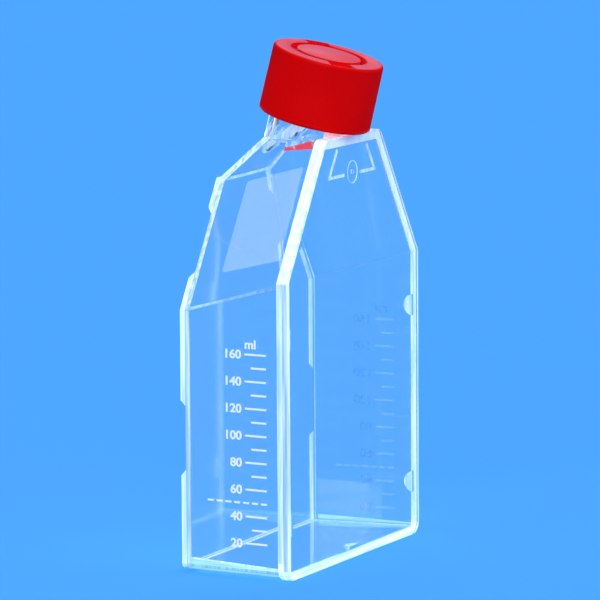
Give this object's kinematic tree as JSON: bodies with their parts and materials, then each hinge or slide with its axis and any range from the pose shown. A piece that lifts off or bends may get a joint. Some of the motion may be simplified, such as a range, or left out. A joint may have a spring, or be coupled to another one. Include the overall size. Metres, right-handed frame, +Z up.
{
  "type": "cell culture flask",
  "caption": "Clear flat-sided cell culture flask with sloping shoulders, a canted neck and a red vented screw cap; it stands on its end.",
  "frame": {"origin": "middle of the flat end wall, 0.8 mm above the foot of the lid plate and its flange", "axes": "+Z up the flask towards the cap, X across the wide faces, +Y from the welded lid plate to the growth face; the neck leans towards -Y"},
  "size_m": [0.088, 0.0431, 0.1483],
  "materials": {
    "clear_tray": "clear moulded polystyrene, polished",
    "clear_lid": "clear moulded polystyrene, polished",
    "red_cap": "red moulded polyethylene, satin",
    "seal": "pale soft elastomer",
    "membrane": "white porous film, matte"
  },
  "bodies": {
    "flask": {"flask_body": "clear_tray", "lid_plate": "clear_lid"},
    "seal": {"sealing_ring": "seal"},
    "cap": {"screw_cap": "red_cap", "vent_membrane": "membrane"}
  },
  "joints": [
    {"name": "cap_rise", "type": "slide", "parent": "flask", "child": "seal", "axis": [0, -0.2487, 0.9686], "range_m": [0, 0.00563]},
    {"name": "cap_turn", "type": "hinge", "parent": "seal", "child": "cap", "pos_m": [0, -0.0046, 0.125], "axis": [0, -0.2487, 0.9686], "range_deg": [0, 450]}
  ],
  "couplings": [
    {"joint": "cap_rise", "follows": "cap_turn", "m_per_rad": 0.0007162}
  ]
}
